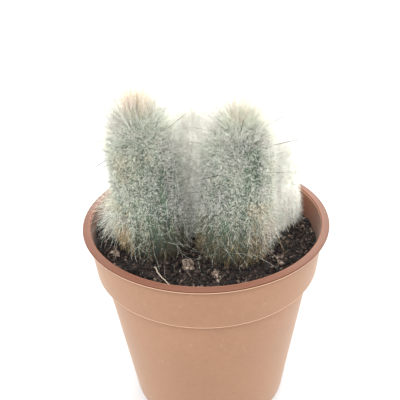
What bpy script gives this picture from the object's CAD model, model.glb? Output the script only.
"""Looks for a pot of woolly column cacti: hairy stems, crumbly peat and a scuffed plastic pot."""

import math
from collections import namedtuple

import bmesh
import bpy
import numpy as np
from mathutils import Matrix, Vector, noise


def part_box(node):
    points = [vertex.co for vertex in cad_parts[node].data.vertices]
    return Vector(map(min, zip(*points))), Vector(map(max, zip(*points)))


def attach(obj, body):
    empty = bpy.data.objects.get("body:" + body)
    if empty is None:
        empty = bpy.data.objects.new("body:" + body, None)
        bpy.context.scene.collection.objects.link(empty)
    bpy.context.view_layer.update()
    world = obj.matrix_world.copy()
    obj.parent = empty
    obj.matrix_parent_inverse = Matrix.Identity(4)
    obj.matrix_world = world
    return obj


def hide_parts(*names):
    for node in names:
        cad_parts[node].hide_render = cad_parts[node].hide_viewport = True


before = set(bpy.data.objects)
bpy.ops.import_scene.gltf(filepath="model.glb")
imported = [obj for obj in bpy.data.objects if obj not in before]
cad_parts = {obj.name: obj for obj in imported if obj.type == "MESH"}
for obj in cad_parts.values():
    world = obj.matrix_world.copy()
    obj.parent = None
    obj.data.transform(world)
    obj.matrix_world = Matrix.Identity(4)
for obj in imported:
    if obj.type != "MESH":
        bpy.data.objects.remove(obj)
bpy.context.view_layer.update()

MM = 0.001
SEED = 23

# Pot, with the solid's own sizes.
POT_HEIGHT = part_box("pot")[1].z
LIP_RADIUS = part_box("pot")[1].x
POT_SIDES = 160
LIP_THICKNESS = 0.65 * MM
MOUTH_RADIUS = 25.8 * MM
MOUTH_ROUNDING = 0.35 * MM
COLLAR_TOP_RADIUS = 26.4 * MM
COLLAR_FOOT_RADIUS = 25.7 * MM
COLLAR_HEIGHT = 10.6 * MM
STEP_ROUNDING = 0.15 * MM
BODY_TOP_RADIUS = 24.25 * MM
BODY_FOOT_RADIUS = 19.75 * MM
FOOT_ROUNDING = 1.4 * MM
WALL = 0.75 * MM
FLOOR_TOP = 1.8 * MM
FLOOR_ROUNDING = 1.0 * MM
RECESS_RADIUS = 15.6 * MM
RECESS_HEIGHT = 1.0 * MM
DRAIN_RADIUS = 2.2 * MM
DRAIN_CIRCLE = 10.5 * MM
DRAIN_COUNT = 5
GAP = 0.3 * MM
OVERCUT = 1.0 * MM

# Soil, with the solid's own lumps and finer ones of (height, width).
SOIL_DEPTH = 4.9 * MM
SOIL_FALL = 0.05
SOIL_EDGE_RISE = 0.6 * MM
CRUMBS = ((1.2 * MM, 3.8 * MM), (1.5 * MM, 1.9 * MM))
FINE_CRUMBS = ((0.5 * MM, 0.9 * MM), (0.35 * MM, 0.45 * MM))
CRUMB_CLEAR = 7.8 * MM
CHIP_CLEAR = 2.2 * MM
CRUMB_FADE = 1.6 * MM
SOIL_RINGS = 60

# Stems: shared shape rules of the solids.
RIBS = 15
RIB_DEPTH = 0.8 * MM
AREOLE_SPACING = 2.0 * MM
NECK_HEIGHT = 0.6 * MM
LOWEST_AREOLE = 1.5 * MM
WOOL_OVER_FLESH = 1.2 * MM
WOOL_OVER_TIP = 4.4 * MM
WOOL_SHOULDER = 0.5
FLESH_SHOULDER = 0.6
CROWN_SQUARENESS = 2.6
WOOL_ROUNDING = 0.62
SWELL_HEIGHT = 0.13
SWELL_SPREAD = 0.19
FLESH_SWELL = 0.45
ROOT_RADIUS = 5.9 * MM
ROOT_DEPTH = 6.0 * MM

# Hair, in millimetres: the height of the lowest roots, their scatter about the areoles, the
# shortest and longest hair, its radius at the root, the tip's share of that, how many points a
# hair has and how far they sway. The fringe's lengths are its limits, and the tan hair's are
# shares of what its place on the column gives it.
Layer = namedtuple("Layer", "low scatter length radius taper points wave")
FELT = Layer(0.7, 0.66, (0.9, 1.9), 0.05, 1.0, 2, 0.0)
WOOL = Layer(0.8, 0.5, (1.8, 3.2), 0.038, 0.8, 3, 0.24)
SILK = Layer(1.0, 0.6, (2.4, 4.2), 0.04, 0.6, 5, 0.2)
FRINGE = Layer(1.5, 0.8, (7.5, 10.0), 0.02, 1.0, 2, 0.0)
TAN = Layer(0.7, 0.0, (0.7, 1.3), 0.034, 0.6, 4, 0.08)
SPINE = Layer(4.0, 0.1, (2.6, 4.6), 0.032, 0.5, 4, 0.0)
STRAY = Layer(0.0, 0.0, (4.0, 8.0), 0.032, 0.6, 9, 0.0)
FIBRE = Layer(0.0, 0.0, (0.8, 3.4), 0.05, 0.6, 5, 0.0)
FINE_SPINES = 60
DARK_SHARE = 0.34
ROOT_SINK = 0.15 * MM
FLESH_ROOM = 0.7 * MM
WALL_ROOM = 1.1 * MM
OVER_LIP = 0.5 * MM
PAST_LIP = 1.0 * MM

# Loose pieces: bark chips as (x, y), (length, width, height), turn in degrees.
CHIPS = {
    "bark_chip_front": ((-3.9 * MM, -14.9 * MM), (2.0 * MM, 1.6 * MM, 2.0 * MM), 25),
    "bark_chip_small": ((1.6 * MM, -17.2 * MM), (1.9 * MM, 1.1 * MM, 1.0 * MM), 70),
    "bark_chip_left": ((-19.4 * MM, -10.8 * MM), (2.2 * MM, 1.2 * MM, 0.9 * MM), 130),
}
CHIP_ROUGHNESS = 0.35 * MM
CHIP_TAPER = 0.25
STRAW_FROM = (-10.8 * MM, -15.2 * MM)
STRAW_TO = (-7.3 * MM, -21.4 * MM)
STRAW_BOW = 0.35 * MM
STRAW_RADIUS = 0.14 * MM

# Camera, fitted to the pot's lip, collar and foot as the photograph shows them.
CAMERA_PLACE = (-1.12 * MM, -97.44 * MM, 108.26 * MM)
CAMERA_DOWN = math.radians(29.58)
CAMERA_ROLL = -0.0337
LENS_MM = 45.0
SENSOR_MM = 36.0

# Lights as (place), size, power, (colour).
LIGHTS = {
    "left": ((-0.8, 0.0, 0.36), 0.6, 6.8, (1.0, 0.97, 0.9)),
    "right": ((0.8, 0.08, 0.36), 0.6, 8.2, (1.0, 0.97, 0.91)),
    "back": ((0.08, 0.8, 0.64), 0.8, 12.5, (1.0, 1.0, 1.0)),
    "front": ((-0.03, -0.61, 0.67), 0.4, 11.5, (1.0, 1.0, 1.0)),
}
LIGHT_TARGET = (0.0, 0.0, 0.05)
ROOM_LIGHT = 0.96


def degrees_apart(angle, azimuth):
    """Degrees between angles in radians and an azimuth in degrees, from -180 to 180."""
    return (np.degrees(angle) - azimuth + 180) % 360 - 180


def level_out(angle):
    """Level unit vectors that point outwards at angles."""
    return np.stack([np.cos(angle), np.sin(angle), np.zeros_like(angle)], -1)


class Stem:
    """A column: where its axis, flesh and wool are, and how its hair is spread.

    A long spine is (azimuth, height, lift, length). A bare spot is (azimuth, height, spread
    round, spread up, share of hair missing). A shaggy side is (azimuth, spread, how much longer
    its hair is). A tan patch is (azimuth, height, spread round, spread up, share of the tan hair,
    tone from 0 for brown to 1 for pale).
    Angles are in degrees and lengths in millimetres. hairs counts the felt, wool, silk, fringe
    and tan hair.
    """

    def __init__(self, foot, tip, height, waist, flare, hairs, long_spines, tan, bare=(), shaggy=()):
        self.foot = np.array(foot) * MM
        self.tip = np.array(tip) * MM
        self.height = height * MM
        self.waist = waist * MM
        self.flare = flare * MM
        self.hairs = hairs
        self.long_spines = np.array(long_spines, float).T
        self.tan = np.array(tan, float)
        self.bare = bare
        self.shaggy = shaggy
        self.ground = POT_HEIGHT - SOIL_DEPTH - SOIL_FALL * self.foot[0]
        self.flesh_height = self.height - WOOL_OVER_TIP

    def axis(self, height):
        """Points of the axis at heights over the ground."""
        height = np.asarray(height, float)
        share = np.maximum(height, 0.0) / self.height
        xy = self.foot + (self.tip - self.foot) * share[..., None]
        return np.concatenate([xy, (self.ground + height)[..., None]], -1)

    def swell(self, height):
        """How much of the flare there is at a height."""
        return np.exp(-(((height / self.height - SWELL_HEIGHT) / SWELL_SPREAD) ** 2))

    def wool(self, height):
        """Radius over the wool."""
        share = np.clip(height / self.height, 0.0, 1.0)
        rounding = np.maximum(share - WOOL_SHOULDER, 0.0) / (1 - WOOL_SHOULDER)
        crown = (1 - rounding**CROWN_SQUARENESS) ** WOOL_ROUNDING
        return crown * (self.waist + self.flare * self.swell(height))

    def flesh(self, height):
        """Radius of the flesh between crest and valley."""
        height = np.asarray(height, float)
        shoulder = FLESH_SHOULDER * self.flesh_height
        rounding = np.clip((height - shoulder) / (self.flesh_height - shoulder), 0.0, 1.0)
        foot = np.clip((height - NECK_HEIGHT) / (LOWEST_AREOLE - NECK_HEIGHT), 0.0, 1.0)
        full = self.waist - WOOL_OVER_FLESH + FLESH_SWELL * self.flare * self.swell(height)
        crown = np.sqrt(1 - rounding**CROWN_SQUARENESS)
        return (ROOT_RADIUS + (full - ROOT_RADIUS) * np.sqrt(foot)) * crown

    def rib_relief(self, height):
        """Rib depth, less towards the crown and the root."""
        width = self.flesh(height) / (self.waist - WOOL_OVER_FLESH)
        return RIB_DEPTH * np.clip(width, 0.0, 1.0) * np.clip(height / LOWEST_AREOLE, 0.0, 1.0)

    def crown(self, height):
        """0 on the column's side and 1 at its crown."""
        share = height / self.flesh_height
        return np.clip((share - FLESH_SHOULDER) / (1 - FLESH_SHOULDER), 0.0, 1.0)

    def depth(self, height):
        """How far the wool stands off the flesh, measured outwards."""
        level = np.maximum(self.wool(height) - self.flesh(height), WOOL_OVER_FLESH * 0.8)
        return level + (WOOL_OVER_TIP - level) * self.crown(height) ** 2

    def nap(self, height):
        """How far the dense short hair stands off the flesh, less than the wool on the crown."""
        return self.depth(height) * (1 - 0.5 * self.crown(height) ** 2)

    def surface(self, angle, height):
        """Points on the flesh with the outward, upward and sideways directions there."""
        step = 0.05 * MM
        slope = (self.flesh(height + step) - self.flesh(height - step)) / (2 * step)
        reach = self.flesh(height) + self.rib_relief(height) * np.cos(RIBS * angle) / 2
        around = level_out(angle)
        side = np.stack([-np.sin(angle), np.cos(angle), np.zeros_like(angle)], -1)
        points = self.axis(height) + around * reach[:, None]
        tilt = np.arctan(np.clip(-slope, -0.3, 30))[:, None]
        upright = np.array([0.0, 0.0, 1.0])
        out = around * np.cos(tilt) + upright * np.sin(tilt)
        up = upright * np.cos(tilt) - around * np.sin(tilt)
        return points, out, up, side

    def keeps(self, angle, height):
        """The share of hair that grows at each place, less on the bare spots."""
        share = np.ones_like(angle)
        for azimuth, middle, spread, rise, missing in self.bare:
            aside, over = degrees_apart(angle, azimuth) / spread, (height / MM - middle) / rise
            share *= 1 - missing * np.exp(-((aside**2 + over**2) ** 2))
        return share

    def trim(self, angle, height):
        """How short the hair is near the soil and on bare spots, as a share of its full length."""
        low = 0.4 + 0.6 * np.clip(height / (5.0 * MM), 0.0, 1.0)
        return low * (0.35 + 0.65 * self.keeps(angle, height))

    def dulls(self, angle, height, least=0.4):
        """The share of its tone that hair has at each place, less on the bare spots."""
        return least + (1 - least) * self.keeps(angle, height)

    def bleach(self, height):
        """How much paler the hair is towards the crown."""
        return 0.15 * self.crown(height) ** 3

    def shag(self, angle, height):
        """How much longer than usual the low hair is at each place."""
        low = np.exp(-(((height / self.height - 0.3) / 0.16) ** 2))
        longer = np.ones_like(angle)
        for azimuth, spread, extra in self.shaggy:
            longer += extra * low * np.exp(-((degrees_apart(angle, azimuth) / spread) ** 2))
        return longer


STEMS = {
    "stem_front_left": Stem(
        (-11.0, -5.2), (-13.5, -2.5), 34.1, 7.7, 1.6,
        hairs=(16500, 6600, 1900, 10200, 2900),
        long_spines=(
            (183, 23.5, 8, 5.3), (186, 21.0, -32, 5.6), (178, 16.0, -30, 4.6), (170, 28.0, 42, 4.6),
            (15, 28.0, 45, 4.4), (262, 27.5, 58, 5.0), (300, 19.0, 10, 5.0), (120, 22.0, 15, 5.0),
            (75, 26.5, 40, 5.0), (160, 29.0, 55, 4.6), (200, 29.0, 36, 4.5), (70, 29.0, 20, 5.5),
            (40, 28.0, 20, 3.8), (260, 29.0, 76, 4.5), (0, 26.0, 36, 5.4),
        ),
        tan=(
            (217, 6.6, 11, 1.5, 3.0, 0.6), (0, 1.0, 180, 1.2, 0.8, 0.1), (250, 9.0, 25, 4.0, 0.5, 0.5),
            (330, 5.5, 25, 3.0, 2.2, 0.2), (280, 4.5, 45, 3.0, 3.0, 0.1), (0, 30.1, 360, 0.5, 3.4, 0.93),
        ),
        bare=((296, 0.0, 62, 9.6, 0.98), (224, 0.0, 42, 7.4, 0.98), (300, 16.0, 12, 5.0, 0.5)),
        shaggy=((180, 42, 1.4), (285, 55, -0.5)),
    ),
    "stem_front_right": Stem(
        (5.9, -7.1), (7.3, -3.6), 33.2, 7.7, 2.0,
        hairs=(16500, 6600, 1900, 10300, 2500),
        long_spines=(
            (2, 26.8, 30, 6.6), (0, 23.2, 12, 7.4), (350, 18.0, 4, 5.0), (190, 27.5, 50, 4.4),
            (95, 27.0, 48, 5.0), (270, 27.5, 55, 5.0), (235, 20.0, 8, 5.2), (300, 14.0, -8, 5.0),
            (30, 26.0, 52, 4.5), (140, 28.0, 36, 4.5), (160, 26.0, 4, 5.5), (180, 24.0, 8, 4.6),
        ),
        tan=(
            (318, 9.5, 17, 2.5, 1.2, 0.8), (255, 5.5, 55, 3.2, 5.5, 0.24), (0, 1.0, 180, 1.2, 0.8, 0.1),
            (196, 6.5, 14, 3.0, 1.6, 0.36), (315, 4.5, 25, 1.5, 0.8, 0.4), (0, 29.2, 360, 0.5, 0.8, 1.0),
        ),
        bare=((245, 0.0, 115, 10.0, 0.98), (291, 22.0, 11, 5.0, 0.5)),
        shaggy=((335, 35, 0.6), (190, 40, 0.5), (265, 50, -0.5)),
    ),
    "stem_back_middle": Stem(
        (-1.8, 9.4), (-2.4, 10.4), 27.2, 8.0, 0.5,
        hairs=(7800, 5000, 1200, 8600, 500),
        long_spines=(
            (185, 22.5, 45, 4.6), (350, 21.0, 35, 5.4), (85, 19.5, 20, 5.6), (120, 13.5, 5, 5.0),
            (60, 9.0, -5, 4.6), (95, 23.0, 60, 4.8),
        ),
        tan=((270, 4.0, 50, 3.0, 3.0, 0.1), (240, 11.0, 30, 4.0, 1.0, 0.6), (0, 22.8, 360, 0.8, 0.5, 0.9)),
        bare=((270, 0.0, 85, 9.5, 0.9),),
    ),
    "stem_back_right": Stem(
        (16.0, 7.2), (14.6, 7.6), 22.5, 7.3, 0.8,
        hairs=(7800, 5000, 1200, 8600, 500),
        long_spines=(
            (10, 16.5, 35, 4.8), (330, 13.0, 8, 4.6), (60, 17.0, 40, 5.0), (100, 13.0, 10, 5.0),
            (75, 8.5, 0, 4.4), (140, 17.5, 50, 4.8),
        ),
        tan=((0, 1.2, 180, 1.4, 2.0, 0.4), (290, 4.0, 30, 3.0, 1.5, 0.6), (0, 18.1, 360, 0.8, 0.5, 0.9)),
        bare=((8, 8.0, 60, 10.0, 0.4),),
        shaggy=((300, 45, 0.6), (12, 50, -0.5)),
    ),
}


def soil_level(x, y):
    """Height of the soil without its lumps."""
    edge = np.hypot(x, y) / MOUTH_RADIUS
    return POT_HEIGHT - SOIL_DEPTH - SOIL_FALL * x + SOIL_EDGE_RISE * edge**4


def crumb_share(x, y):
    """The share of its height that a crumb has at a place: none at a stem's foot or under a chip."""
    to_stem = min(math.dist((x, y), stem.foot) for stem in STEMS.values()) - CRUMB_CLEAR
    to_chip = min(math.dist((x, y), place) for place, _, _ in CHIPS.values()) - CHIP_CLEAR
    return min(max(min(to_stem, to_chip) / CRUMB_FADE, 0.0), 1.0)


def soil_height(x, y):
    """Height of the soil with the solid's own lumps and finer ones."""
    height = soil_level(x, y)
    loose = crumb_share(x, y)
    for tall, wide in CRUMBS:
        height += loose * tall * noise.noise(Vector((x / wide, y / wide, tall / MM)))
    for tall, wide in FINE_CRUMBS:
        height += tall * noise.noise(Vector((x / wide, y / wide, tall / MM)))
    return height


# Materials


class Look:
    """A material's nodes, round its Principled shader. Colours are linear RGB."""

    def __init__(self, name, roughness, specular):
        self.material = bpy.data.materials.new(name)
        self.material.use_nodes = True
        self.tree = self.material.node_tree
        self.shader = self.tree.nodes["Principled BSDF"]
        self.place = self.node("TexCoord", {})
        self.set({"Roughness": roughness, "Specular IOR Level": specular})

    def fill(self, node, values):
        """Gives a node's sockets plain values or other sockets' values."""
        for key, value in values.items():
            if isinstance(value, bpy.types.NodeSocket):
                self.tree.links.new(value, node.inputs[key])
            else:
                node.inputs[key].default_value = value

    def set(self, values):
        """Gives the shader's sockets their values."""
        self.fill(self.shader, values)

    def node(self, kind, values, **settings):
        """The outputs of a new node with its sockets' values and its settings."""
        node = self.tree.nodes.new(f"ShaderNode{kind}")
        for name, setting in settings.items():
            setattr(node, name, setting)
        self.fill(node, values)
        return node.outputs

    def noise(self, scale, detail=4.0, roughness=0.6, stretch=(1, 1, 1)):
        """Noise over the object's own coordinates, in features per metre."""
        place = self.node("Mapping", {"Vector": self.place["Object"], "Scale": stretch})["Vector"]
        values = {"Vector": place, "Scale": scale, "Detail": detail, "Roughness": roughness}
        return self.node("TexNoise", values)["Fac"]

    def ramp(self, value, *stops):
        """A colour ramp over a value. Each stop is (position, colour)."""
        node = self.tree.nodes.new("ShaderNodeValToRGB")
        elements = node.color_ramp.elements
        while len(elements) < len(stops):
            elements.new(0.5)
        for element, (position, colour) in zip(elements, stops):
            element.position = position
            element.color = (*colour, 1.0)
        self.fill(node, {"Fac": value})
        return node.outputs["Color"]

    def mix(self, factor, first, second, blend="MIX"):
        """Mixes two colours, each a socket or plain, by a socket or a number."""
        pair = [(*colour, 1.0) if isinstance(colour, tuple) else colour for colour in (first, second)]
        values = {0: factor, 6: pair[0], 7: pair[1]}
        return self.node("Mix", values, data_type="RGBA", blend_type=blend)[2]

    def remap(self, value, from_low, from_high, to_low=0.0, to_high=1.0):
        """A value mapped smoothly from one range to another."""
        values = dict(enumerate((value, from_low, from_high, to_low, to_high)))
        return self.node("MapRange", values, interpolation_type="SMOOTHSTEP")["Result"]

    def multiply(self, first, second):
        """The product of two values."""
        return self.node("Math", {0: first, 1: second}, operation="MULTIPLY")["Value"]

    def band(self, value, low, high, soft):
        """1 where a value lies between two limits, and 0 outside them."""
        rise = self.remap(value, low - soft, low)
        return self.multiply(rise, self.remap(value, high, high + soft, 1.0, 0.0))

    def height(self):
        """Height over the ground."""
        return self.node("SeparateXYZ", {"Vector": self.place["Object"]})["Z"]

    def facing_out(self):
        """Positive where a surface faces away from the object's upright axis."""
        values = {0: self.place["Object"], 1: (1.0, 1.0, 0.0)}
        level = self.node("VectorMath", values, operation="MULTIPLY")["Vector"]
        values = {0: level, 1: self.place["Normal"]}
        return self.node("VectorMath", values, operation="DOT_PRODUCT")["Value"]

    def bump(self, value, strength, distance):
        """Bumps the surface by a value."""
        values = {"Height": value, "Strength": strength, "Distance": distance}
        self.set({"Normal": self.node("Bump", values)["Normal"]})

    def shine_through(self, colour, share):
        """Lets a share of the light through the surface, in its colour."""
        through = self.node("BsdfTranslucent", {"Color": colour})["BSDF"]
        values = {"Fac": share, 1: self.shader.outputs["BSDF"], 2: through}
        surface = self.node("MixShader", values)["Shader"]
        self.fill(self.tree.nodes["Material Output"], {"Surface": surface})


def pot_material():
    """Matt terracotta-coloured plastic: mottled, dull on the lip, worn pale along its edges."""
    look = Look("pot_plastic", 0.55, 0.25)
    look.set({"Specular Tint": (1.0, 0.84, 0.64, 1.0), "Sheen Tint": (1.0, 0.93, 0.82, 1.0)})
    mottle, fine = look.noise(60, 3), look.noise(900, 4, 0.7)
    rough = look.remap(mottle, 0.3, 0.7, 0.5, 0.6)
    look.set({"Sheen Weight": 0.14, "Sheen Roughness": 0.4, "Roughness": rough})
    look.bump(fine, 0.25, 0.03 * MM)
    colour = look.ramp(mottle, (0.3, (0.23, 0.125, 0.076)), (0.7, (0.253, 0.138, 0.084)))
    specks = look.ramp(fine, (0.35, (0.93, 0.93, 0.93)), (0.65, (1.0, 1.0, 1.0)))
    colour = look.mix(1.0, colour, specks, "MULTIPLY")
    worn = look.remap(look.noise(330, 2), 0.6, 0.72, 0.0, 0.3)
    scuffs = look.multiply(look.band(look.noise(190, 2, 0.4), 0.5, 0.506, 0.012), worn)
    colour = look.mix(scuffs, colour, (0.46, 0.3, 0.2))
    height = look.height()
    for low, high, shade in ((0.34, 0.28, (0.055, 0.018, 0.01)), (0.16, 0.08, (0.125, 0.05, 0.032))):
        lip = look.remap(height, POT_HEIGHT - low * MM, POT_HEIGHT - high * MM)
        colour = look.mix(lip, colour, shade)
    colour = look.mix(look.remap(look.facing_out(), 0.0, -0.005), colour, (0.19, 0.07, 0.04))
    for edge, low, high in ((POT_HEIGHT, -0.56, -0.36), (POT_HEIGHT - COLLAR_HEIGHT, -0.05, 0.16)):
        line = look.band(height, edge + low * MM, edge + high * MM, 0.04 * MM)
        colour = look.mix(line, colour, (0.6, 0.38, 0.26))
    look.set({"Base Color": colour})
    return look.material


def soil_material(name, stops, roughness=0.75):
    """Peat in patches between near-black, brown and reddish."""
    look = Look(name, roughness, 0.25)
    look.set({"Base Color": look.ramp(look.noise(900, 5, 0.75), *stops)})
    look.bump(look.noise(4000, 5, 0.75), 0.9, 0.12 * MM)
    return look.material


def flesh_material(name, stops):
    """Grey-green skin, bluer and darker in patches, corky brown at the foot."""
    look = Look(name, 0.55, 0.4)
    green = look.ramp(look.noise(300, 4, 0.6), *stops)
    ground = POT_HEIGHT - SOIL_DEPTH
    cork = look.remap(look.height(), ground + 1.0 * MM, ground + 9 * MM, 0.9, 0.0)
    look.set({"Base Color": look.mix(cork, green, (0.029, 0.03, 0.023))})
    look.bump(look.noise(2500, 4), 0.4, 0.06 * MM)
    return look.material


def hair_material(name, stops, translucency, tinting=1.0, specks=0.5):
    """Fine hair that lets light through, coloured by each hair's tone, tinted and speckled."""
    look = Look(name, 0.5, 0.35)
    tone = look.node("Attribute", {}, attribute_name="tone")["Fac"]
    cream, greenish = (1.0, 0.96, 0.87), (0.93, 0.98, 0.93)
    warm, cool = (1.0, 0.99, 0.97), (0.98, 0.97, 0.98)
    tints = look.ramp(look.noise(170, 3), (0.34, cream), (0.45, greenish), (0.55, warm), (0.66, cool))
    colour = look.mix(tinting, look.ramp(tone, *stops), tints, "MULTIPLY")
    clumps = look.ramp(look.noise(2000, 2), (0.4, (0.15, 0.2, 0.15)), (0.49, (1.0, 1.0, 1.0)))
    colour = look.mix(look.remap(tone, 0.85, 1.0, specks, 0.0), colour, clumps, "MULTIPLY")
    look.set({"Base Color": colour})
    look.shine_through(colour, translucency)
    return look.material


def wood_material(name, stops, scale, stretch=(1, 1, 1)):
    """Dry bark or stalk with a drawn-out grain."""
    look = Look(name, 0.75, 0.3)
    grain = look.noise(scale, 5, 0.7, stretch)
    look.set({"Base Color": look.ramp(grain, *stops)})
    look.bump(grain, 0.8, 0.12 * MM)
    return look.material


# Meshes


def in_scene(name, data):
    """A new object in the scene."""
    obj = bpy.data.objects.new(name, data)
    bpy.context.scene.collection.objects.link(obj)
    return obj


def link(name, mesh, material):
    """An object in the scene, with its material."""
    mesh.materials.append(material)
    return in_scene(name, mesh)


def mesh_of(name, bm):
    """The mesh of a bmesh, which is freed."""
    mesh = bpy.data.meshes.new(name)
    bm.to_mesh(mesh)
    bm.free()
    return mesh


def settle(obj, slot, *nodes):
    """Puts a finished piece on the body, with its slot and the solids that it stands for."""
    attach(obj, "root")
    if nodes:
        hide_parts(*nodes)


def triangle_mesh(name, shapes, faces):
    """A mesh of many shapes with the same triangles. shapes is (shapes, points, 3)."""
    count, each, _ = shapes.shape
    first = np.arange(count)[:, None, None] * each
    corners = (np.array(faces)[None] + first).astype(np.int32).ravel()
    mesh = bpy.data.meshes.new(name)
    mesh.vertices.add(count * each)
    mesh.vertices.foreach_set("co", shapes.astype(np.float32).ravel())
    mesh.loops.add(corners.size)
    mesh.loops.foreach_set("vertex_index", corners)
    mesh.polygons.add(corners.size // 3)
    mesh.polygons.foreach_set("loop_start", np.arange(0, corners.size, 3, dtype=np.int32))
    mesh.update(calc_edges=True)
    return mesh


def unit(vectors):
    """Vectors scaled to length 1."""
    return vectors / np.maximum(np.linalg.norm(vectors, axis=-1, keepdims=True), 1e-12)


def strand_mesh(name, paths, radii, tones, rng):
    """Thin three-sided hairs that end in a point.

    paths is (hairs, points, 3), radii is (hairs, points - 1) and tones is one number a hair.
    """
    hairs, count, _ = paths.shape
    along = unit(np.gradient(paths, axis=1))
    side = unit(np.cross(along, unit(rng.normal(size=(hairs, 1, 3)))))
    other = np.cross(along, side)
    rings = []
    for corner in range(3):
        angle = 2 * math.pi * corner / 3
        offset = side * math.cos(angle) + other * math.sin(angle)
        rings.append(paths[:, :-1] + offset[:, :-1] * radii[..., None])
    body = np.stack(rings, 2).reshape(hairs, (count - 1) * 3, 3)
    points = np.concatenate([body, paths[:, -1:]], 1)
    tip = (count - 1) * 3
    faces = [(0, 2, 1)]
    for ring in range(count - 2):
        for corner in range(3):
            a, b = ring * 3 + corner, ring * 3 + (corner + 1) % 3
            faces += [(a, b, b + 3), (a, b + 3, a + 3)]
    last = tip - 3
    faces += [(last + corner, last + (corner + 1) % 3, tip) for corner in range(3)]
    mesh = triangle_mesh(name, points, faces)
    tone = mesh.attributes.new("tone", "FLOAT", "POINT")
    tone.data.foreach_set("value", np.repeat(tones, tip + 1).astype(np.float32))
    mesh.shade_smooth()
    return mesh


def keep_clear(paths, own=None):
    """Bends paths off the other stems, the pot's wall and the soil."""
    for stem in STEMS.values():
        if stem is own:
            continue
        height = paths[..., 2] - stem.ground
        centre = stem.axis(height)[..., :2]
        away = paths[..., :2] - centre
        reach = np.maximum(np.linalg.norm(away, axis=-1), 1e-9)
        room = np.where(height < stem.flesh_height, stem.flesh(height) + FLESH_ROOM, 0.0)
        paths[..., :2] = centre + away * np.maximum(room / reach, 1.0)[..., None]
    reach = np.maximum(np.linalg.norm(paths[..., :2], axis=-1), 1e-9)
    low = paths[..., 2] < POT_HEIGHT + OVER_LIP
    limit = np.where(low, MOUTH_RADIUS - WALL_ROOM, LIP_RADIUS + PAST_LIP)
    paths[..., :2] *= np.minimum(1.0, limit / reach)[..., None]
    return paths


def places(stem, layer, count, rng, weight):
    """Angles and heights where hair grows, scattered about the areoles up the ribs."""
    heights = np.linspace(layer.low * MM, stem.flesh_height - 0.03 * MM, 800)
    scatter = layer.scatter * MM
    radius = stem.flesh(heights)
    length = np.hypot(np.gradient(heights), np.gradient(radius))
    travel = np.cumsum(length)
    share = np.cumsum(radius * length * weight(heights / stem.flesh_height))
    angle, height = np.empty(0), np.empty(0)
    while len(angle) < count:
        rib = rng.integers(0, RIBS, count)
        stagger = (rib % 2) * AREOLE_SPACING / 2
        place = np.interp(rng.uniform(0, share[-1], count), share, travel)
        place = np.round((place - stagger) / AREOLE_SPACING) * AREOLE_SPACING + stagger
        place = np.abs(place + rng.normal(0, scatter, count))
        new_height = np.interp(place, travel, heights)
        aside = rng.normal(0, scatter, count) / np.maximum(stem.flesh(new_height), 1.0 * MM)
        new_angle = rib * 2 * math.pi / RIBS + aside
        kept = rng.uniform(0, 1, count) < stem.keeps(new_angle, new_height)
        angle = np.append(angle, new_angle[kept])
        height = np.append(height, new_height[kept])
    return angle[:count], height[:count]


def grow(stem, layer, angle, height, length, lean, turn, bend, rng):
    """Hair paths from the flesh.

    lean is the angle off the outward direction, turn is the way it leans (0 up, pi down), and
    bend is how far the tip drops.
    """
    roots, out, up, side = stem.surface(angle, height)
    flat = up * np.cos(turn)[:, None] + side * np.sin(turn)[:, None]
    direction = out * np.cos(lean)[:, None] + flat * np.sin(lean)[:, None]
    steps = np.linspace(0.0, 1.0, layer.points)[None, :, None]
    start = roots - out * ROOT_SINK
    paths = start[:, None] + direction[:, None] * length[:, None, None] * steps
    paths[..., 2] -= np.reshape(bend, (-1, 1)) * steps[..., 0] ** 2
    if layer.wave:
        paths = paths + rng.normal(0, layer.wave * MM, paths.shape) * steps
    return keep_clear(over_soil(paths, 0.1 * MM), stem)


def over_soil(paths, gap):
    """Lifts paths off the soil."""
    floor = soil_level(paths[..., 0], paths[..., 1]) + gap
    paths[..., 2] = np.maximum(paths[..., 2], floor)
    return paths


def tapering(layer, hairs, rng):
    """Radii from root to tip, a little different on each hair."""
    steps = np.linspace(1.0, layer.taper, layer.points - 1)[None]
    return layer.radius * MM * rng.uniform(0.75, 1.25, (hairs, 1)) * steps


def lean_within(stand, length):
    """The lean at which hairs of a length stand a given way off the flesh."""
    return np.arccos(np.clip(stand / length, 0.08, 0.98))


def hair_piece(name, paths, radii, tones, material, rng, slot="cactus"):
    """A settled piece of hair."""
    mesh = strand_mesh(name, paths, radii, tones, rng)
    settle(link(name, mesh, material), slot)


def felt(name, stem, count, material, rng):
    """Short straight hair that radiates every way from the areoles, some of it dark."""
    angle, height = places(stem, FELT, count, rng, lambda share: 0.7 + 0.9 * share**3)
    length = rng.uniform(*FELT.length, count) * MM * stem.trim(angle, height)
    dark = rng.uniform(0, 1, count) < DARK_SHARE * (1 - 0.7 * stem.crown(height) ** 4)
    outer, inner = rng.uniform(0.5, 1.15, count), rng.uniform(0.15, 0.95, count)
    lean = lean_within(stem.nap(height) * np.where(dark, outer, inner), length)
    turn = rng.uniform(-math.pi, math.pi, count)
    paths = grow(stem, FELT, angle, height, length, lean, turn, 0.0, rng)
    shaded, light = rng.uniform(0.0, 0.1, count), rng.normal(0.83, 0.1, count) + stem.bleach(height)
    tones = np.where(dark, shaded, light) * stem.dulls(angle, height, 0.3)
    hair_piece(name, paths, tapering(FELT, count, rng), tones, material, rng)


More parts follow.
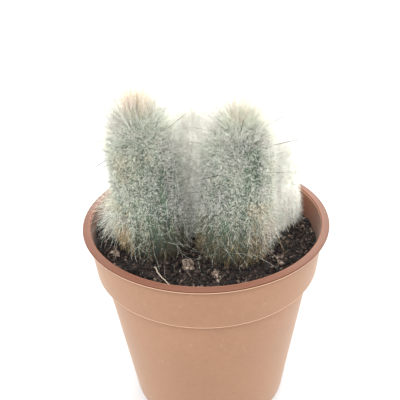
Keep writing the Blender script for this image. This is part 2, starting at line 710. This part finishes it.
def wool(name, stem, count, material, rng):
    """Soft bent hair among the felt, which hangs lower down the column."""
    angle, height = places(stem, WOOL, count, rng, lambda share: 0.7 + 0.6 * share**2)
    length = rng.uniform(*WOOL.length, count) * MM * stem.trim(angle, height)
    lean = lean_within(stem.nap(height) * rng.uniform(0.3, 1.15, count), length)
    down = np.clip(1 - height / stem.height / 0.55, 0, 1)
    turn = rng.uniform(-math.pi, math.pi, count)
    turn = np.where(rng.uniform(0, 1, count) < down, math.pi + rng.normal(0, 0.6, count), turn)
    bend = rng.uniform(0.0, 0.5, count) * MM * (0.3 + down)
    paths = grow(stem, WOOL, angle, height, length, lean, turn, bend, rng)
    tones = (rng.normal(0.8, 0.1, count) + stem.bleach(height)) * stem.dulls(angle, height)
    hair_piece(name, paths, tapering(WOOL, count, rng), tones, material, rng)


def silk(name, stem, count, material, rng):
    """Long soft hair that hangs outwards over the lower half, longest on the shaggy sides."""
    angle, height = places(stem, SILK, count, rng, lambda share: np.exp(-((share / 0.42) ** 2)) + 0.08)
    longer = stem.shag(angle, height)
    length = rng.uniform(*SILK.length, count) * MM * longer * stem.trim(angle, height)
    stand = stem.depth(height) * rng.uniform(0.3, 1.1, count) * longer**1.8
    lean = lean_within(stand, length)
    turn = math.pi + rng.normal(0, 0.7, count)
    bend = rng.uniform(0.1, 1.0, count) * MM * longer
    paths = grow(stem, SILK, angle, height, length, lean, turn, bend, rng)
    tones = rng.normal(0.7, 0.13, count) * stem.dulls(angle, height)
    hair_piece(name, paths, tapering(SILK, count, rng), tones, material, rng)


def fringe(name, stem, count, material, rng):
    """Very fine spines that stand out past the wool as a pale fringe."""
    angle, height = places(stem, FRINGE, count, rng, lambda share: 0.5 + 1.4 * share**4)
    length = stem.depth(height) * rng.uniform(1.2, 2.3, count) * stem.shag(angle, height)
    length *= stem.trim(angle, height) * (1 + 0.35 * stem.crown(height) ** 6)
    length = np.minimum(length, rng.uniform(*FRINGE.length, count) * MM)
    lean = np.abs(rng.normal(0.5, 0.4, count)) * (1 - 0.5 * stem.crown(height))
    turn = rng.normal(0, 1.8, count)
    paths = grow(stem, FRINGE, angle, height, length, lean, turn, 0.0, rng)
    tones = rng.normal(0.95, 0.1, count) * stem.dulls(angle, height)
    hair_piece(name, paths, tapering(FRINGE, count, rng), tones, material, rng)


def tan_hair(name, stem, count, material, rng):
    """Tan wool in patches low on the column, and tan bristles on its crown."""
    shares = stem.tan[:, 4] / stem.tan[:, 4].sum()
    azimuth, middle, spread, rise, _, tone = stem.tan[rng.choice(len(shares), count, p=shares)].T
    angle = np.radians(rng.normal(azimuth, spread))
    top = stem.flesh_height - 0.05 * MM
    height = np.clip(np.abs(rng.normal(middle, rise)) * MM, TAN.low * MM, top)
    height = np.where(height == top, top - rng.exponential(0.3, count) * MM, height)
    crown = stem.crown(height)
    on_crown, below = 1.35 * stem.depth(height) * crown, MM * (1.5 + 1.2 * tone) * (1 - crown)
    length = rng.uniform(*TAN.length, count) * (on_crown + below)
    lean = np.where(crown > 0.3, np.abs(rng.normal(0.25, 0.35, count)), rng.uniform(0.6, 1.3, count))
    turn = np.where(crown > 0.3, rng.normal(0, 1.0, count), math.pi + rng.normal(0, 0.8, count))
    bend = rng.uniform(0.0, 0.5, count) * MM * (1 - crown)
    paths = grow(stem, TAN, angle, height, length, lean, turn, bend, rng)
    tones = rng.normal(tone, 0.15)
    radii = tapering(TAN, count, rng) * (1 - 0.4 * crown[:, None])
    hair_piece(name, paths, radii, tones, material, rng)


def spines(name, stem, material, rng):
    """The single long spines, and finer ones that stand out all over the column."""
    angle, height = places(stem, SPINE, FINE_SPINES, rng, lambda share: 0.4 + share**2)
    azimuth, rise, lift, reach = stem.long_spines
    angle = np.append(np.radians(azimuth), angle)
    fine_lift = rng.normal(0.1, 0.35, FINE_SPINES) + 0.9 * stem.crown(height)
    lift = np.append(np.radians(lift), fine_lift)
    height = np.append(rise * MM, height)
    length = np.append(reach * 1.12 * MM, rng.uniform(*SPINE.length, FINE_SPINES) * MM)
    roots, _, _, side = stem.surface(angle, height)
    level = level_out(angle) + side * rng.normal(0, 0.15, len(angle))[:, None]
    direction = level * np.cos(lift)[:, None]
    direction[:, 2] = np.sin(lift)
    steps = np.linspace(0, 1, SPINE.points)[None, :, None]
    paths = roots[:, None] + direction[:, None] * length[:, None, None] * steps
    radii = tapering(SPINE, len(angle), rng)
    radii[: len(azimuth)] = 0.018 * reach[:, None] * MM * np.linspace(1, 0.5, SPINE.points - 1)
    tones = rng.uniform(0, 1, len(angle))
    hair_piece(name, keep_clear(paths, stem), radii, tones, material, rng)


def strays(name, stem, count, azimuth, spread, heights, tone, material, rng):
    """Single wavy hairs that hang loose over one side of a column's foot."""
    angle = np.radians(rng.normal(azimuth, spread, count))
    height = rng.uniform(*heights, count) * MM
    length = rng.uniform(*STRAY.length, count) * MM
    lean = rng.uniform(0.9, 1.4, count)
    turn = rng.uniform(-math.pi, math.pi, count)
    bend = rng.uniform(0.0, 2.5, count) * MM
    paths = grow(stem, STRAY, angle, height, length, lean, turn, bend, rng)
    steps = np.linspace(0, 1, STRAY.points)[None, :, None]
    phase = rng.uniform(0, 2 * math.pi, (count, 1, 3))
    sway = np.sin(phase + steps * rng.uniform(3, 8, (count, 1, 1))) * steps * 0.9 * MM
    paths = paths + sway + level_out(angle)[:, None] * steps * 1.2 * MM
    paths = keep_clear(over_soil(paths, 0.2 * MM), stem)
    tones = rng.normal(tone, 0.12, count)
    hair_piece(name, paths, tapering(STRAY, count, rng), tones, material, rng)


def loft(name, loops, material):
    """Skins closed rings of points into a capped solid."""
    bm = bmesh.new()
    rings = [[bm.verts.new(point) for point in ring] for ring in loops]
    for lower, upper in zip(rings, rings[1:]):
        for i in range(len(lower)):
            j = (i + 1) % len(lower)
            bm.faces.new((lower[i], lower[j], upper[j], upper[i]))
    bm.faces.new(rings[0][::-1])
    bm.faces.new(rings[-1])
    mesh = mesh_of(name, bm)
    mesh.shade_smooth()
    return link(name, mesh, material)


def make_flesh(name, stem, material):
    """Ribbed green flesh with a root in the soil."""
    columns, rows = RIBS * 6, 40
    rise = np.sin(np.linspace(0, math.pi / 2, rows))
    top = stem.flesh_height - 0.01 * MM
    heights = np.concatenate([[-ROOT_DEPTH, 0.0], NECK_HEIGHT + (top - NECK_HEIGHT) * rise])
    heights = np.sort(np.append(heights, [0.8 * MM, 1.1 * MM]))
    angle = np.arange(columns) * 2 * math.pi / columns
    around = level_out(angle)
    loops = []
    for height in heights:
        level = np.full(columns, height)
        reach = stem.flesh(level) + stem.rib_relief(level) * np.cos(RIBS * angle) / 2
        loops.append(stem.axis(level) + around * reach[:, None])
    return loft(name, loops, material)


def arc(centre, radius, start, end, count):
    """Points (r, z) on an arc between two angles in degrees, ends included."""
    points = []
    for step in range(count):
        angle = math.radians(start + (end - start) * step / (count - 1))
        points.append((centre[0] + radius * math.cos(angle), centre[1] + radius * math.sin(angle)))
    return points


def baked(obj):
    """Applies an object's modifiers to its mesh."""
    bpy.context.view_layer.update()
    graph = bpy.context.evaluated_depsgraph_get()
    mesh = bpy.data.meshes.new_from_object(obj.evaluated_get(graph))
    old = obj.data
    obj.modifiers.clear()
    obj.data = mesh
    bpy.data.meshes.remove(old)


def turned(name, profile, material, sides):
    """A solid turned about Z from (r, z) points that run down its outer side."""
    mesh = bpy.data.meshes.new(name)
    edges = [(i, i + 1) for i in range(len(profile) - 1)]
    mesh.from_pydata([(r, 0.0, z) for r, z in profile], edges, [])
    obj = in_scene(name, mesh)
    screw = obj.modifiers.new("turn", "SCREW")
    screw.steps = sides
    screw.render_steps = sides
    screw.use_merge_vertices = True
    screw.merge_threshold = 0.00001
    baked(obj)
    obj.data.materials.append(material)
    return obj


def cut(obj, cutters):
    """Cuts each cutter out of an object and removes the cutters."""
    for cutter in cutters:
        boolean = obj.modifiers.new("cut", "BOOLEAN")
        boolean.operation = "DIFFERENCE"
        boolean.object = cutter
    baked(obj)
    for cutter in cutters:
        bpy.data.objects.remove(cutter, do_unlink=True)


def cylinder(centre, radius, low, high, sides):
    """An upright round cutter."""
    bm = bmesh.new()
    bmesh.ops.create_cone(
        bm, cap_ends=True, segments=sides, radius1=radius, radius2=radius, depth=high - low
    )
    bmesh.ops.translate(bm, verts=bm.verts, vec=(centre[0], centre[1], (high + low) / 2))
    return in_scene("cutter", mesh_of("cutter", bm))


def collar_inner_radius(z):
    """The pot's inner radius at a height between the step and the rim."""
    share = (z - (POT_HEIGHT - COLLAR_HEIGHT)) / COLLAR_HEIGHT
    return COLLAR_FOOT_RADIUS - WALL + share * (MOUTH_RADIUS - COLLAR_FOOT_RADIUS + WALL)


def pot_inside():
    """The inner side's points (r, z), from the middle of the floor up to the mouth."""
    step = POT_HEIGHT - COLLAR_HEIGHT + WALL
    corner = BODY_FOOT_RADIUS - WALL - FLOOR_ROUNDING
    return [
        (0.0, FLOOR_TOP),
        *arc((corner, FLOOR_TOP + FLOOR_ROUNDING), FLOOR_ROUNDING, -90, 0, 6),
        (BODY_TOP_RADIUS - WALL, step - 2 * STEP_ROUNDING),
        (BODY_TOP_RADIUS - WALL + 2 * STEP_ROUNDING, step),
        (collar_inner_radius(step) - STEP_ROUNDING, step),
        (collar_inner_radius(step + STEP_ROUNDING), step + STEP_ROUNDING),
    ]


def make_pot(material):
    """The turned pot with its drain holes."""
    lip_edge = LIP_THICKNESS / 2
    mouth = MOUTH_ROUNDING
    foot = POT_HEIGHT - COLLAR_HEIGHT
    nick = 0.1 * MM
    profile = [
        *pot_inside(),
        *arc((MOUTH_RADIUS + mouth, POT_HEIGHT - mouth), mouth, 180, 90, 7),
        *arc((LIP_RADIUS - lip_edge, POT_HEIGHT - lip_edge), lip_edge, 90, -90, 9),
        (COLLAR_TOP_RADIUS + nick, POT_HEIGHT - LIP_THICKNESS),
        (COLLAR_TOP_RADIUS, POT_HEIGHT - LIP_THICKNESS - nick),
        *arc((COLLAR_FOOT_RADIUS - STEP_ROUNDING, foot + STEP_ROUNDING), STEP_ROUNDING, 0, -90, 5),
        (BODY_TOP_RADIUS + nick, foot),
        (BODY_TOP_RADIUS, foot - nick),
        *arc((BODY_FOOT_RADIUS - FOOT_ROUNDING, FOOT_ROUNDING), FOOT_ROUNDING, 0, -90, 9),
        (RECESS_RADIUS, 0.0),
        (RECESS_RADIUS - RECESS_HEIGHT / 2, RECESS_HEIGHT),
        (0.0, RECESS_HEIGHT),
    ]
    pot = turned("pot_moulding", profile, material, POT_SIDES)
    cutters = []
    for number in range(DRAIN_COUNT):
        angle = 2 * math.pi * (number + 0.5) / DRAIN_COUNT
        centre = (DRAIN_CIRCLE * math.cos(angle), DRAIN_CIRCLE * math.sin(angle))
        low, high = RECESS_HEIGHT - OVERCUT, FLOOR_TOP + OVERCUT
        cutters.append(cylinder(centre, DRAIN_RADIUS, low, high, 48))
    cut(pot, cutters)
    pot.data.shade_smooth()
    pot.data.set_sharp_from_angle(angle=math.radians(38))
    settle(pot, "pot_plastic", "pot")


def make_soil(material):
    """The peat's body, with a finely crumbled top and holes for the stems."""
    surface = POT_HEIGHT - SOIL_DEPTH
    top_ring = MOUTH_RADIUS - 0.8 * MM
    side = [(max(r - GAP, 0.0), z + GAP) for r, z in pot_inside()]
    top = [(top_ring * (1 - k / SOIL_RINGS), surface) for k in range(SOIL_RINGS + 1)]
    soil = turned("soil_peat", (side + top)[::-1], material, 150)
    for vert in soil.data.vertices:
        if vert.co.z > surface - 0.001 * MM:
            vert.co.z = soil_height(vert.co.x, vert.co.y)
    cutters = []
    for stem in STEMS.values():
        low = stem.ground - ROOT_DEPTH - GAP
        cutters.append(cylinder(stem.foot, ROOT_RADIUS + GAP, low, POT_HEIGHT, 40))
    cut(soil, cutters)
    soil.data.shade_smooth()
    soil.data.set_sharp_from_angle(angle=math.radians(50))
    settle(soil, "peat", "soil")


def octahedron():
    """Points and triangles of a unit octahedron."""
    points = np.array([(1, 0, 0), (-1, 0, 0), (0, 1, 0), (0, -1, 0), (0, 0, 1), (0, 0, -1)])
    faces = [(0, 2, 4), (2, 1, 4), (1, 3, 4), (3, 0, 4), (2, 0, 5), (1, 2, 5), (3, 1, 5), (0, 3, 5)]
    return points, faces


def ball(subdivisions):
    """Points and triangles of a unit icosphere."""
    bm = bmesh.new()
    bmesh.ops.create_icosphere(bm, subdivisions=subdivisions, radius=1.0)
    points = np.array([vert.co for vert in bm.verts])
    faces = [[vert.index for vert in face.verts] for face in bm.faces]
    bm.free()
    return points, faces


def random_turns(count, rng):
    """Random rotation matrices."""
    w, x, y, z = unit(rng.normal(size=(count, 4))).T
    rows = [
        [1 - 2 * (y * y + z * z), 2 * (x * y - z * w), 2 * (x * z + y * w)],
        [2 * (x * y + z * w), 1 - 2 * (x * x + z * z), 2 * (y * z - x * w)],
        [2 * (x * z - y * w), 2 * (y * z + x * w), 1 - 2 * (x * x + y * y)],
    ]
    return np.array(rows).transpose(2, 0, 1)


def open_places(count, rng, margin):
    """Random (x, y) on the soil, away from the stems' roots and the wall by a margin."""
    reach = MOUTH_RADIUS - 1.0 * MM - margin
    found = []
    while len(found) < count:
        x, y = rng.uniform(-reach, reach, 2)
        nearest = min(math.dist((x, y), stem.foot) for stem in STEMS.values())
        if math.hypot(x, y) < reach and nearest > ROOT_RADIUS + margin:
            found.append((x, y))
    return np.array(found)


def grains(name, count, shape, sizes, stretches, sink, material, rng):
    """Rough angular grains that lie on the soil."""
    points, faces = shape
    size = np.exp(rng.uniform(math.log(sizes[0]), math.log(sizes[1]), count))
    spots = open_places(count, rng, 0.3 * MM)
    rough = 1 + rng.normal(0, 0.22, (count, len(points), 1))
    stretch = rng.uniform(*stretches, (count, 1, 3))
    shapes = points[None] * rough * stretch * size[:, None, None]
    shapes = np.einsum("nij,nkj->nki", random_turns(count, rng), shapes)
    heights = np.array([soil_height(x, y) for x, y in spots])
    lift = (heights + size * (0.5 - sink))[:, None]
    shapes = keep_clear(shapes + np.concatenate([spots, lift], 1)[:, None])
    settle(link(name, triangle_mesh(name, shapes, faces), material), "peat")


def fibres(name, count, material, rng):
    """Thin bent fibres that lie in and on the soil."""
    middles = open_places(count, rng, 0.4 * MM)
    heading = rng.uniform(0, 2 * math.pi, count)
    size = rng.uniform(*FIBRE.length, count) * MM
    curl = rng.normal(0, 0.8, count)
    tip = rng.normal(0, 0.35, count)
    steps = np.linspace(-0.5, 0.5, FIBRE.points)
    paths = np.zeros((count, FIBRE.points, 3))
    for i in range(count):
        angle = heading[i] + curl[i] * steps
        xy = middles[i] + size[i] * steps[:, None] * np.stack([np.cos(angle), np.sin(angle)], -1)
        rise = np.array([soil_height(x, y) for x, y in xy])
        lie = np.maximum(rise, rise.mean()) + tip[i] * size[i] * steps + 0.15 * MM
        paths[i] = np.concatenate([xy, lie[:, None]], 1)
    tones = rng.uniform(0, 1, count)
    radii = tapering(FIBRE, count, rng)
    hair_piece(name, keep_clear(paths), radii, tones, material, rng, "peat")


def make_chip(node, place, size, turn, material):
    """A rough splinter of bark, with a finely broken surface."""
    bm = bmesh.new()
    bmesh.ops.create_cube(bm, size=1.0)
    bmesh.ops.subdivide_edges(bm, edges=bm.edges, cuts=9, use_grid_fill=True)
    bmesh.ops.scale(bm, vec=size, verts=bm.verts)
    for vert in bm.verts:
        spot = vert.co / MM + Vector((*place, 0.0)) / MM
        vert.co += noise.noise_vector(spot) * CHIP_ROUGHNESS
        vert.co += noise.noise_vector(spot * 3.5) * CHIP_ROUGHNESS * 0.5
        vert.co.x *= 1 - CHIP_TAPER * (vert.co.z / size[2] + 0.5)
    bmesh.ops.rotate(bm, matrix=Matrix.Rotation(math.radians(turn), 3, "Z"), verts=bm.verts)
    low = min(vert.co.z for vert in bm.verts)
    bmesh.ops.translate(bm, verts=bm.verts, vec=(*place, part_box(node)[0].z - low))
    name = f"{node}_wood"
    settle(link(name, mesh_of(name, bm), material), "bark", node)


def make_straw(material):
    """A thin dry stalk, a little crooked, that lies across the soil."""
    start, end = np.array(STRAW_FROM), np.array(STRAW_TO)
    ahead = unit(end - start)
    side = np.array([-ahead[1], ahead[0]])
    lie = (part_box("straw")[0].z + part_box("straw")[1].z) / 2
    loops = []
    for share in np.linspace(0, 1, 30):
        crook = noise.noise(Vector((share * 5.0, 0.0, 0.0))) * 0.12 * MM
        centre = start + (end - start) * share + side * (crook - STRAW_BOW * math.sin(math.pi * share))
        radius = STRAW_RADIUS * (1 - 0.4 * share) * (1 + 0.2 * noise.noise(Vector((share * 19, 5, 0))))
        ring = []
        for corner in range(8):
            angle = -2 * math.pi * corner / 8
            x, y = centre + side * radius * math.cos(angle)
            ring.append((x, y, lie + radius * math.sin(angle)))
        loops.append(ring)
    settle(loft("straw_stalk", loops, material), "straw", "straw")


# Light, floor and camera


def make_floor():
    """A plain pale floor, paler away from the pot."""
    look = Look("floor", 0.9, 0.1)
    near = look.ramp(look.noise(3, 2), (0.3, (0.43, 0.43, 0.435)), (0.7, (0.45, 0.45, 0.455)))
    distance = look.node("VectorMath", {0: look.place["Object"]}, operation="LENGTH")["Value"]
    far = look.remap(distance, 0.4, 1.3)
    look.set({"Base Color": look.mix(far, near, (0.93, 0.93, 0.93))})
    bm = bmesh.new()
    bmesh.ops.create_grid(bm, x_segments=1, y_segments=1, size=3.0)
    floor = link("floor", mesh_of("floor", bm), look.material)


def make_light():
    """An even white room, with soft square lights at both sides, behind and in front."""
    world = bpy.data.worlds.new("room")
    bpy.context.scene.world = world
    world.use_nodes = True
    background = world.node_tree.nodes["Background"]
    background.inputs["Color"].default_value = (1.0, 1.0, 1.0, 1.0)
    background.inputs["Strength"].default_value = ROOM_LIGHT
    for name, (place, size, power, colour) in LIGHTS.items():
        light = bpy.data.lights.new(name, "AREA")
        light.size, light.energy, light.color = size, power, colour
        obj = in_scene(name, light)
        obj.location = place
        ahead = Vector(LIGHT_TARGET) - Vector(place)
        obj.rotation_euler = ahead.to_track_quat("-Z", "Y").to_euler()


def make_camera():
    """The photograph's viewpoint."""
    camera = bpy.data.cameras.new("camera")
    camera.lens = LENS_MM
    camera.sensor_width = SENSOR_MM
    camera.clip_start = 5 * MM
    camera.clip_end = 20.0
    obj = in_scene("camera", camera)
    level = Matrix.Rotation(math.pi / 2 - CAMERA_DOWN, 4, "X")
    roll = Matrix.Rotation(CAMERA_ROLL, 4, "Z")
    obj.matrix_world = Matrix.Translation(CAMERA_PLACE) @ level @ roll
    bpy.context.scene.camera = obj


# Build


def make_peat(rng):
    """The soil, its grains and its fibres."""
    black, brown, red = (0.003, 0.0025, 0.0025), (0.014, 0.009, 0.0075), (0.045, 0.022, 0.018)
    dark = soil_material("peat", ((0.42, black), (0.6, brown), (0.72, red)))
    make_soil(dark)
    grains("soil_crumbs", 5200, octahedron(), (0.16 * MM, 0.6 * MM), (0.4, 1.3), 0.0, dark, rng)
    grains("soil_lumps", 450, ball(1), (0.35 * MM, 0.7 * MM), (0.5, 1.2), 0.2, dark, rng)
    grains("soil_clods", 60, ball(2), (0.7 * MM, 1.2 * MM), (0.5, 1.1), 0.4, dark, rng)
    umber, tan, pale = (0.035, 0.021, 0.017), (0.12, 0.085, 0.065), (0.4, 0.33, 0.27)
    mid = soil_material("peat_bark", ((0.42, brown), (0.55, umber), (0.72, tan)), 0.6)
    grains("soil_bark", 1800, octahedron(), (0.2 * MM, 0.7 * MM), (0.15, 1.4), -0.2, mid, rng)
    light = soil_material("peat_flakes", ((0.4, umber), (0.55, tan), (0.7, pale)), 0.6)
    grains("soil_flakes", 1200, octahedron(), (0.14 * MM, 0.5 * MM), (0.15, 1.6), -0.4, light, rng)
    stops = ((0.0, (0.03, 0.02, 0.015)), (0.6, (0.11, 0.078, 0.058)), (1.0, (0.32, 0.26, 0.21)))
    fibre = hair_material("peat_fibre", stops, 0.1)
    fibres("soil_fibres", 900, fibre, rng)


def make_loose_pieces():
    """The bark chips and the straw."""
    dark, mid, pale = (0.03, 0.02, 0.015), (0.15, 0.11, 0.085), (0.45, 0.37, 0.3)
    bark = wood_material("bark", ((0.42, dark), (0.54, mid), (0.68, pale)), 1300)
    for node, (place, size, turn) in CHIPS.items():
        make_chip(node, place, size, turn, bark)
    stops = ((0.35, (0.27, 0.22, 0.17)), (0.65, (0.46, 0.39, 0.31)))
    make_straw(wood_material("straw", stops, 600, (1, 0.2, 1)))


def make_stems(rng):
    """Each column's flesh, hair and spines."""
    shade, grey, cream = (0.04, 0.052, 0.038), (0.34, 0.355, 0.305), (0.66, 0.665, 0.6)
    white, snow = (0.92, 0.915, 0.87), (0.99, 0.985, 0.955)
    stops = ((0.0, shade), (0.2, grey), (0.42, cream), (0.8, white))
    pale = hair_material("cactus_hair", stops, 0.4, specks=1.0)
    snowy = hair_material("cactus_white_hair", ((0.0, white), (0.4, snow)), 0.55, 0.3, 0.2)
    brown, tan = (0.04, 0.036, 0.026), (0.28, 0.2, 0.12)
    gold, rose = (0.74, 0.56, 0.32), (0.88, 0.75, 0.64)
    stops = ((0.1, brown), (0.4, tan), (0.65, gold), (0.9, rose))
    warm = hair_material("cactus_tan_hair", stops, 0.3)
    stops = ((0.0, (0.03, 0.02, 0.016)), (1.0, (0.12, 0.08, 0.06)))
    dark = hair_material("cactus_spine", stops, 0.1)
    stops = ((0.3, (0.03, 0.05, 0.038)), (0.5, (0.055, 0.09, 0.06)), (0.7, (0.1, 0.145, 0.085)))
    green = flesh_material("cactus_flesh", stops)
    stops = ((0.3, (0.84, 0.84, 0.76)), (0.5, (0.9, 0.9, 0.83)), (0.7, (0.94, 0.94, 0.88)))
    pale_skin = flesh_material("cactus_pale_flesh", stops)
    layers = {"felt": felt, "wool": wool, "silk": silk, "fringe": fringe, "tan_hair": tan_hair}
    for node, stem in STEMS.items():
        part = node.removeprefix("stem_")
        hair, skin = (snowy, pale_skin) if part.startswith("back") else (pale, green)
        settle(make_flesh(f"flesh_{part}", stem, skin), "cactus", node)
        for (layer, make), count in zip(layers.items(), stem.hairs):
            make(f"{layer}_{part}", stem, count, warm if make is tan_hair else hair, rng)
        spines(f"spines_{part}", stem, dark, rng)
    left, right = STEMS["stem_front_left"], STEMS["stem_front_right"]
    strays("strays_left", left, 40, 290, 32, (2.0, 11.0), 0.6, pale, rng)
    strays("strays_right", right, 24, 260, 45, (2.0, 10.0), 0.5, pale, rng)
    strays("strays_wall", left, 14, 184, 14, (6.0, 11.0), 0.6, warm, rng)
    strays("strays_edge", right, 14, 345, 16, (6.0, 10.0), 0.6, warm, rng)


make_camera()
make_light()
make_floor()
bpy.context.scene.view_settings.view_transform = "Standard"
generator = np.random.default_rng(SEED)
noise.seed_set(SEED)
make_pot(pot_material())
make_peat(generator)
make_loose_pieces()
make_stems(generator)
